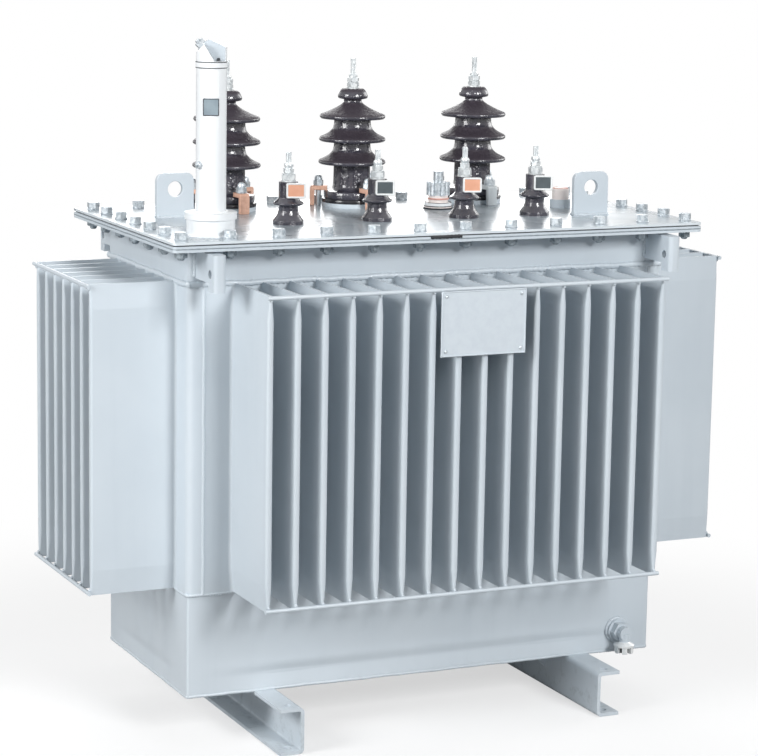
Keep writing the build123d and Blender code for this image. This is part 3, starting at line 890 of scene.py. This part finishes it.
# blank nameplate: folded edge and four rivets
plateForm = {"edge": 0.0026, "back": -0.0016, "rise": 0.0010, "corner": 0.004,
             "rivet": 0.0032, "inset": 0.009}


def nameplateEdge():
    form = plateForm
    low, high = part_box("nameplate")
    rim, mesh = bmesh.new(), bmesh.new()
    face = pointing(((low.x + high.x) / 2, low.y, (low.z + high.z) / 2), (0, -1, 0))
    width, height = high.x - low.x, high.z - low.z
    # the face may lie on its side
    if abs((face @ Vector((0, 1, 0)) - face.translation).z) <= 0.5:
        width, height = height, width
    openFrame(rim, width, height, form["edge"], form["back"], form["rise"], form["corner"], face)
    piece("nameplate_edge", rim, "plateAluminium", "plate_metal", angle=40)
    r, inset = form["rivet"], form["inset"]
    for x in (low.x + inset, high.x - inset):
        for z in (low.z + inset, high.z - inset):
            lathe(mesh, [(r, -0.0004), (r, 0.0004), (r * 0.88, 0.0012), (r * 0.56, 0.0018), (r * 0.2, 0.002)],
                  pointing((x, low.y, z), (0, -1, 0)), 20)
    piece("nameplate_rivets", mesh, "zincSteel", "clamp_steel", angle=60)


nameplateEdge()
print("tags and nameplate finished")

# filler: lid bolt, tube screw, seals under and over the band, window surround, welds, and painted shade
# inside the hood's mouth
fillerForm = {
    "turn": -24, "slope": (-0.0145, 0.0265), "lean": (-0.74, 0.67), "band": 0.008,
    "lidShank": ((0.0052, -0.004), (0.0052, 0.010)),
    "lidWasher": ((0.0098, -0.001), (0.0100, -0.0004), (0.0100, 0.0012), (0.0094, 0.0018)),
    "lidNut": (0.0145, 0.0018, 0.0100),
    "lidTip": ((0.0042, 0.0100), (0.0042, 0.0125), (0.0034, 0.0135)),
    "screwAt": (-0.0232, -0.0085, 0.078), "screwWay": (-0.93, -0.36, 0),
    "screwHead": (0.0110, 0.0, 0.0055),
    "screwTip": ((0.0026, 0.0055), (0.0026, 0.0080), (0.0018, 0.0090)),
    "mouth": ((-0.0118, 0.0320), (0.0064, 0.0026), (0.0226, 0.0026), (0.0226, 0.0250), (-0.0040, 0.0368)),
    "notch": ((0.0080, 0.0028), (0.0150, 0.0028), (0.0138, 0.0072), (0.0102, 0.0072)),
    "mouthDepths": (-0.0078, -0.0090), "notchDepths": (-0.0088, -0.0104),
    "seal": 0.0254, "sealThick": 0.0009, "sealUnder": 0.0006, "sealOver": 0.0004,
    # the window's surround: width, height, border, back, front, corner
    "windowTurn": -22, "windowOut": 0.0244, "window": (0.0262, 0.0282, 0.0016, -0.0026, 0.0010, 0.0015),
    "tubeSeam": (0.0258, 0.0022), "baseSeam": (0.0405, 0.0028),
    "seamRise": 0.0006, "seamRipple": 0.0050, "seamPoints": 48
}


def fillerFittings():
    form = fillerForm
    capLow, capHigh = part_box("filler_cap")
    spot = (capLow + capHigh) / 2
    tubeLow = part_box("filler_tube")[0]
    mesh = bmesh.new()
    a = radians(form["turn"])
    sideways = Vector((cos(a), sin(a), 0))
    u, h = form["slope"]
    at = Vector((spot.x, spot.y, capLow.z + form["band"] + h)) + sideways * u
    place = pointing(at, sideways * form["lean"][0] + Vector((0, 0, form["lean"][1])))
    lathe(mesh, form["lidShank"], place, 20)
    lathe(mesh, form["lidWasher"], place, 28)
    hexPrism(mesh, *form["lidNut"], place, 0.3)
    lathe(mesh, form["lidTip"], place, 16)
    dx, dy, dz = form["screwAt"]
    side = pointing((spot.x + dx, spot.y + dy, tubeLow.z + dz), form["screwWay"])
    hexPrism(mesh, *form["screwHead"], side, 0.2)
    lathe(mesh, form["screwTip"], side, 16)
    piece("filler_bolts", mesh, "zincSteel", "clamp_steel", angle=28)

    # a grey sheet painted as the shade inside the hood's mouth, and a darker patch painted as the shadow at
    # its foot
    mouthShade, notch = bmesh.new(), bmesh.new()
    inward = Vector((-sideways.y, sideways.x, 0))
    base = Vector((spot.x, spot.y, capLow.z + form["band"]))

    def sheet(target, outline, depths):
        rings = [[base + sideways * u + inward * v + Vector((0, 0, h)) for u, h in outline] for v in depths]
        loft(target, rings)

    sheet(mouthShade, form["mouth"], form["mouthDepths"])
    sheet(notch, form["notch"], form["notchDepths"])
    piece("filler_mouth_painted_shade", mouthShade, "tankEnamel", "tank_paint", angle=30)
    piece("filler_mouth_painted_shadow", notch, "greyRubber", "gasket_rubber", angle=30)

    seals = bmesh.new()
    foot = standing(spot.x, spot.y, 0)
    for z in (capLow.z - form["sealUnder"], capLow.z + form["band"] + form["sealOver"]):
        hoop(seals, form["seal"], z, form["sealThick"], foot)
    winLow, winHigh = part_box("filler_window")
    b = radians(form["windowTurn"])
    out = Vector((sin(b), -cos(b), 0))
    face = Matrix.Rotation(b, 4, "Z") @ Matrix.Rotation(radians(90), 4, "X")
    at = Vector((spot.x, spot.y, (winLow.z + winHigh.z) / 2)) + out * form["windowOut"]
    openFrame(seals, *form["window"], Matrix.Translation(at) @ face)
    piece("filler_seals", seals, "greyRubber", "gasket_rubber", angle=40)

    seam = bmesh.new()
    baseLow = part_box("filler_base")[0]
    count = form["seamPoints"]
    for (radius, thick), z, seed in ((form["tubeSeam"], tubeLow.z, 9), (form["baseSeam"], baseLow.z, 10)):
        loop = [Vector((spot.x + radius * cos(t), spot.y + radius * sin(t), z + form["seamRise"]))
                for t in turns(count)]
        bead(seam, loop, thick, steady(0, 0, 1), True, form["seamRipple"], seed)
    piece("filler_weld_runs", seam, "whiteEnamel", "white_paint", angle=60)


fillerFittings()
print("filler fitted")

# seals and rings on the cover: tap seals and tap ring as radius, height, thickness;
# squeezed gasket and joint line as radius and ripple
sealForm = {
    "tapSeals": ((0.0256, 0.0012, 0.0012), (0.0249, 0.0050, 0.0008), (0.0236, 0.0112, 0.0007)),
    "tapDisc": ((0.0181, 0.0046), (0.0242, 0.0046), (0.0247, 0.0054), (0.0247, 0.0102),
                (0.0240, 0.0110), (0.0181, 0.0110)),
    "ringSeal": ((0.0526, 0.0074), (0.0535, 0.0077), (0.0540, 0.0088), (0.0540, 0.0128),
                 (0.0531, 0.0143), (0.0500, 0.0150), (0.0496, 0.0141)),
    "squeezeAt": (-0.035, -0.020, -0.002, 0.012, 0.023), "squeezeIn": 0.0004,
    "squeeze": (0.0027, 0.0070),
    "jointHeight": 0.0055, "jointCorner": 0.008, "joint": (0.0010, 0.0120),
    "reliefSeal": 0.0133, "reliefIn": 0.0004, "reliefThick": 0.0013,
    "tapRing": (0.0183, 0.0180, 0.0016)
}


def coverSeals():
    form = sealForm
    seals = bmesh.new()
    tap = middleOf("tap_changer_base")
    foot = standing(tap.x, tap.y, coverTop)
    for radius, z, thick in form["tapSeals"]:
        hoop(seals, radius, z, thick, foot)
    flangeLow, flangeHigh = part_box("tank_flange")
    inside = form["squeezeIn"]
    squeeze = [Vector((x, flangeLow.y - inside, flangeHigh.z - inside)) for x in form["squeezeAt"]]
    thick, ripple = form["squeeze"]
    bead(seals, squeeze, thick, steady(0, -1, 0), False, ripple, 71, 0.5)
    piece("cover_seals", seals, "blackRubber", "gasket_rubber", angle=60)

    disc = bmesh.new()
    loft(disc, [ringAt(foot, r, z, 56) for r, z in form["tapDisc"]], True)
    piece("tap_changer_disc", disc, "whiteEnamel", "white_plastic", angle=30)

    joint = bmesh.new()
    size, middle = flangeHigh - flangeLow, (flangeLow + flangeHigh) / 2
    line = [Vector((x, y, flangeLow.z + form["jointHeight"]))
            for x, y in rounded(size.x, size.y, form["jointCorner"], 4)]
    thick, ripple = form["joint"]
    bead(joint, line, thick, sideOf(flangeHigh, middle), True, ripple, 73, 0.4)
    piece("flange_joint_line", joint, "paleRubber", "gasket_rubber", angle=60)

    oiled = bmesh.new()
    for spot in hvPlaces:
        place = standing(spot.x, spot.y, coverTop)
        loft(oiled, [ringAt(place, r, z, 64) for r, z in form["ringSeal"]], True)
    piece("hv_ring_seals", oiled, "oiledRubber", "gasket_rubber", angle=40)

    pink = bmesh.new()
    cap, capTop = middleOf("relief_valve_cap"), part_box("relief_valve_cap")[1].z
    place = standing(cap.x, cap.y, 0)
    hoop(pink, form["reliefSeal"], capTop - form["reliefIn"], form["reliefThick"], place)
    hoop(pink, *form["tapRing"], foot)
    piece("relief_seal", pink, "pinkSeal", "white_plastic", angle=60)


# castle nut under the drain, its core painted black as the shade between the teeth
castleForm = {"teeth": 6, "collar": 0.0183, "core": 0.0098, "turn": 36,
              "toothStart": 0.22, "toothShare": 0.56}


def drainNut():
    form = castleForm
    low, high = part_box("drain_cap")
    spot = (low + high) / 2
    place = standing(spot.x, spot.y, low.z)
    tall, collar, core = high.z - low.z, form["collar"], form["core"]
    castle, shadedCore = bmesh.new(), bmesh.new()
    lathe(castle, [(core, 0.0105), (collar * 0.94, 0.0108), (collar, 0.0116), (collar, 0.0150),
                   (collar * 0.86, 0.0166), (0.0100, tall - 0.0006), (0.0092, tall)], place, 48)
    count = form["teeth"]
    for k in range(count):
        start = 2 * pi * (k + form["toothStart"]) / count + radians(form["turn"])
        arc = [start + 2 * pi * form["toothShare"] / count * i / 6 for i in range(7)]
        edge = [(collar * 0.93, t) for t in arc] + [(core * 1.02, t) for t in reversed(arc)]
        rings = [[place @ Vector((r * s * cos(t), r * s * sin(t), z)) for r, t in edge]
                 for s, z in ((0.97, 0.0), (1.0, 0.0008), (1.0, 0.0106))]
        loft(castle, rings)
    # the core between the teeth is painted black: painted shade
    lathe(shadedCore, [(core * 0.96, 0.0004), (core, 0.001), (core, 0.0107)], place, 36)
    piece("drain_castle_nut", castle, "brightNickel", "terminal_metal", "drain_cap", angle=30)
    piece("drain_nut_shaded_core", shadedCore, "blackRubber", "gasket_rubber", angle=30)


coverSeals()
drainNut()
print("small fittings done")

# pale paper floor that turns to plain white away from the part
floorForm = {"half": 60.0, "drop": 0.0005, "seen": 0.97, "lit": 0.42, "whiteFrom": 0.7, "whiteFull": 1.5}


def stageFloor():
    mesh = bmesh.new()
    half, drop = floorForm["half"], floorForm["drop"]
    outline = ((-half, -half), (half, -half), (half, half), (-half, half))
    mesh.faces.new([mesh.verts.new((x, y, -drop)) for x, y in outline])
    data = bpy.data.meshes.new("studio_floor")
    mesh.to_mesh(data)
    mesh.free()
    floor = bpy.data.objects.new("studio_floor", data)
    scene.collection.objects.link(floor)
    finish = bpy.data.materials.new("floorPaper")
    finish.use_nodes = True
    finish.node_tree.nodes.clear()
    root = Wire(finish.node_tree)
    reach = root.make("ShaderNodeVectorMath", {"operation": "LENGTH"}, {0: objectPlace(root)}, "Value")
    direct = root.make("ShaderNodeLightPath", None, None, "Is Camera Ray")
    lit, seen = ((floorForm[key],) * 3 + (1,) for key in ("lit", "seen"))
    shade = direct.blend(lit, seen)
    paper = root.make("ShaderNodeBsdfPrincipled", None, {"Base Color": shade, "Roughness": 0.9})
    glow = root.make("ShaderNodeEmission", None, {"Color": (1, 1, 1, 1), "Strength": 1.0})
    far = (reach.between(floorForm["whiteFrom"], floorForm["whiteFull"]) * 0.4 + 0.6) * direct
    mixed = root.make("ShaderNodeMixShader", None, {0: far, 1: paper, 2: glow})
    root.make("ShaderNodeOutputMaterial", None, {"Surface": mixed}, None)
    data.materials.append(finish)


stageFloor()

# soft lamps, all turned to the middle of the tank: place, size, power
aim = Vector((0, 0, 0.55))
lightSet = {
    "front": ((1.17, -5.50, 3.17), 1.7, 278),
    "left": ((-4.30, -1.00, 2.50), 2.0, 172),
    "low": ((-3.20, -2.60, 0.45), 1.2, 14),
    "back": ((1.60, 5.00, 2.80), 3.0, 130),
    "right": ((5.20, 1.40, 2.60), 3.0, 80),
}
for name, (at, size, power) in lightSet.items():
    data = bpy.data.lights.new(name, "AREA")
    data.shape, data.size, data.energy = "SQUARE", size, power
    thing = bpy.data.objects.new(name, data)
    thing.location = at
    thing.rotation_euler = (aim - Vector(at)).to_track_quat("-Z", "Y").to_euler()
    scene.collection.objects.link(thing)

# dim fill that looks plain white itself
world = bpy.data.worlds.new("studio")
scene.world = world
world.use_nodes = True
world.node_tree.nodes.clear()
root = Wire(world.node_tree)
seen = (
    root.make("ShaderNodeLightPath", None, None, "Is Camera Ray")
    + root.make("ShaderNodeLightPath", None, None, "Is Glossy Ray")
    + root.make("ShaderNodeLightPath", None, None, "Is Transmission Ray")
)
soft = root.make("ShaderNodeBackground", None, {"Color": (0.99, 0.99, 1.0, 1), "Strength": 0.07})
white = root.make("ShaderNodeBackground", None, {"Color": (1, 1, 1, 1), "Strength": 1.0})
mixed = root.make("ShaderNodeMixShader", None, {0: root.sums("MINIMUM", seen, 1.0), 1: soft, 2: white})
root.make("ShaderNodeOutputWorld", None, {"Surface": mixed}, None)

# camera at the photograph's viewing angle
view = {
    "at": (-1.9498, -4.2820, 1.4065), "azimuth": -24.40, "elevation": 10.13, "roll": 0.93,
    "lens": 127.676, "sensor": 36.0
}
az, el, roll = (radians(view[k]) for k in ("azimuth", "elevation", "roll"))
back = Vector((sin(az) * cos(el), -cos(az) * cos(el), sin(el)))
right = Vector((0, 0, 1)).cross(back).normalized()
up = back.cross(right)
tiltRight = right * cos(roll) + up * sin(roll)
tiltUp = up * cos(roll) - right * sin(roll)
data = bpy.data.cameras.new("camera")
data.lens, data.sensor_width = view["lens"], view["sensor"]
data.clip_start, data.clip_end = 0.1, 200.0
camera = bpy.data.objects.new("camera", data)
camera.matrix_world = Matrix((tiltRight, tiltUp, back)).transposed().to_4x4()
camera.location = view["at"]
scene.collection.objects.link(camera)
scene.camera = camera
scene.view_settings.view_transform = "Standard"
print("stage lit, camera set")
